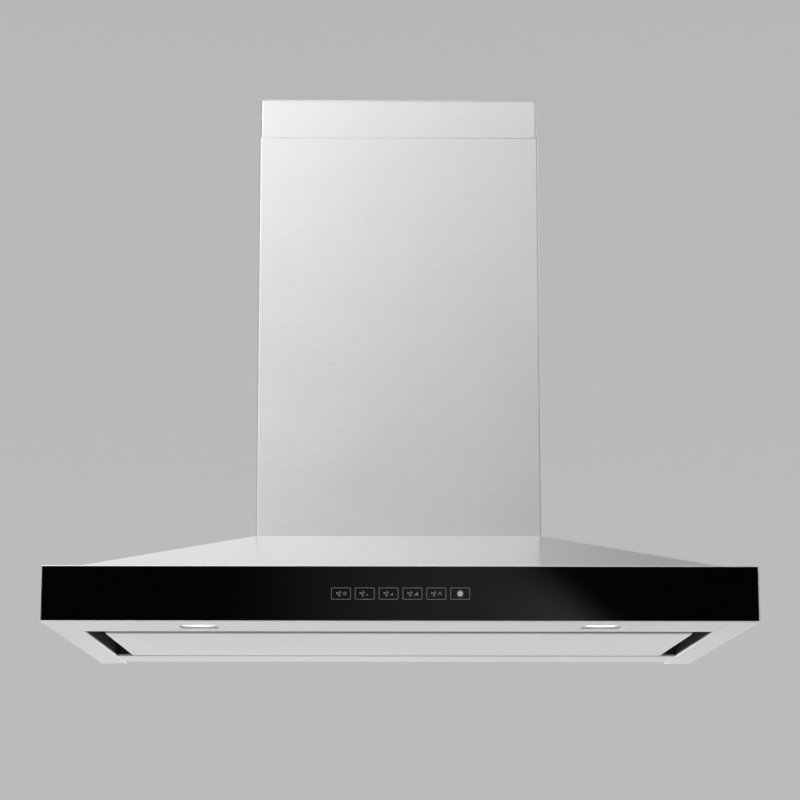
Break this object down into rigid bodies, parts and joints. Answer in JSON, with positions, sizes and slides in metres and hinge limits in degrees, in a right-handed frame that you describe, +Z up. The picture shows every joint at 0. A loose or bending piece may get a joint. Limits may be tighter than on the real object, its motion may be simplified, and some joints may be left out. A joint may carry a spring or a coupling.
{
  "type": "range hood",
  "caption": "Ceiling-hung range hood: pyramid canopy with black glass touch-key front, perimeter-suction panel, square lamps and a two-stage telescoping chimney hiding blower and duct collar.",
  "frame": {"origin": "centre of the ceiling plate's top face, which is the centre of its bolt pattern", "axes": "+Z up to the ceiling, -Y towards the control side, +X to the right as seen from the control side"},
  "size_m": [0.914, 0.686, 0.7565],
  "materials": {
    "stainless": "brushed stainless steel, grain along the width",
    "galvanised": "zinc-coated sheet with a faint spangle",
    "screws": "bright turned steel",
    "black_glass": "black tempered glass, polished",
    "gasket": "black foam rubber",
    "black_coating": "matt black coating on the sheet inside the suction gap",
    "black_plastic": "moulded black plastic",
    "damper_plastic": "grey moulded plastic",
    "circuit_board": "green circuit board",
    "lamp_diffuser": "frosted lamp diffuser, lit",
    "filter_aluminium": "satin folded aluminium",
    "filter_mesh": "layered expanded aluminium mesh",
    "latch_steel": "satin pressed steel",
    "magnet": "dark sintered ferrite",
    "motor_casting": "cast motor can with cooling ribs",
    "cable_jacket": "round flexible jacket"
  },
  "bodies": {
    "ceiling_mount": {"ceiling_plate": "galvanised", "upper_uprights": "galvanised", "upper_chimney_front": "stainless", "upper_chimney_rear": "stainless", "upper_cover_screws": "screws", "frame_clamp_bolts": "screws"},
    "canopy": {"lower_uprights": "galvanised", "frame_ring": "galvanised", "lower_chimney_front": "stainless", "lower_chimney_rear": "stainless", "lower_cover_screws": "screws", "canopy_slopes": "stainless", "canopy_neck": "stainless", "right_side_panel": "stainless", "left_side_panel": "stainless", "rear_panel": "stainless", "rear_rail": "stainless", "front_housing": "stainless", "glass_panel": "black_glass", "glass_gasket": "gasket", "touch_key_board": "circuit_board", "touch_key_carrier": "black_plastic", "lamp_housing_right": "stainless", "lamp_housing_left": "stainless", "lamp_lens_right": "lamp_diffuser", "lamp_lens_left": "lamp_diffuser", "led_boards": "circuit_board", "filter_tray": "black_coating", "filter_keepers": "black_coating", "filter_frame_right": "filter_aluminium", "filter_frame_left": "filter_aluminium", "filter_mesh_right": "filter_mesh", "filter_mesh_left": "filter_mesh", "panel_hinge_brackets": "latch_steel", "panel_catch_magnets": "magnet", "scroll_shell": "galvanised", "scroll_front_plate": "galvanised", "scroll_rear_plate": "galvanised", "motor_body": "motor_casting", "motor_bracket": "galvanised", "blower_rails": "galvanised", "outlet_adapter": "galvanised", "duct_collar": "galvanised", "damper_spindle": "screws", "control_box": "galvanised", "control_box_lid": "galvanised", "control_board": "circuit_board", "motor_capacitor": "black_plastic", "junction_box": "galvanised", "junction_box_cover": "galvanised", "internal_wiring": "cable_jacket"},
    "impeller": {"impeller": "galvanised", "motor_shaft": "screws"},
    "damper_right": {"damper_flap_right": "damper_plastic"},
    "damper_left": {"damper_flap_left": "damper_plastic"},
    "latch_right": {"filter_latch_right": "latch_steel"},
    "latch_left": {"filter_latch_left": "latch_steel"},
    "suction_panel": {"suction_panel": "stainless", "panel_backing": "black_coating", "panel_hinge_pins": "screws"}
  },
  "joints": [
    {"name": "height_adjust", "type": "slide", "parent": "ceiling_mount", "child": "canopy", "axis": [0, 0, 1], "range_m": [-0.4, 0]},
    {"name": "impeller_spin", "type": "hinge", "parent": "canopy", "child": "impeller", "pos_m": [-0.0575, 0, -0.4991], "axis": [0, 1, 0], "continuous": true},
    {"name": "damper_right_hinge", "type": "hinge", "parent": "canopy", "child": "damper_right", "pos_m": [0, 0, -0.3421], "axis": [0, -1, 0], "range_deg": [0, 75]},
    {"name": "damper_left_hinge", "type": "hinge", "parent": "canopy", "child": "damper_left", "pos_m": [0, 0, -0.3421], "axis": [0, 1, 0], "range_deg": [0, 75]},
    {"name": "latch_right_slide", "type": "slide", "parent": "canopy", "child": "latch_right", "axis": [0, 1, 0], "range_m": [0, 0.005], "stiffness_N_per_m": 600, "springref_m": -0.003},
    {"name": "latch_left_slide", "type": "slide", "parent": "canopy", "child": "latch_left", "axis": [0, 1, 0], "range_m": [0, 0.005], "stiffness_N_per_m": 600, "springref_m": -0.003},
    {"name": "panel_hinge", "type": "hinge", "parent": "canopy", "child": "suction_panel", "pos_m": [0, 0.16, -0.7315], "axis": [1, 0, 0], "range_deg": [0, 85]}
  ]
}
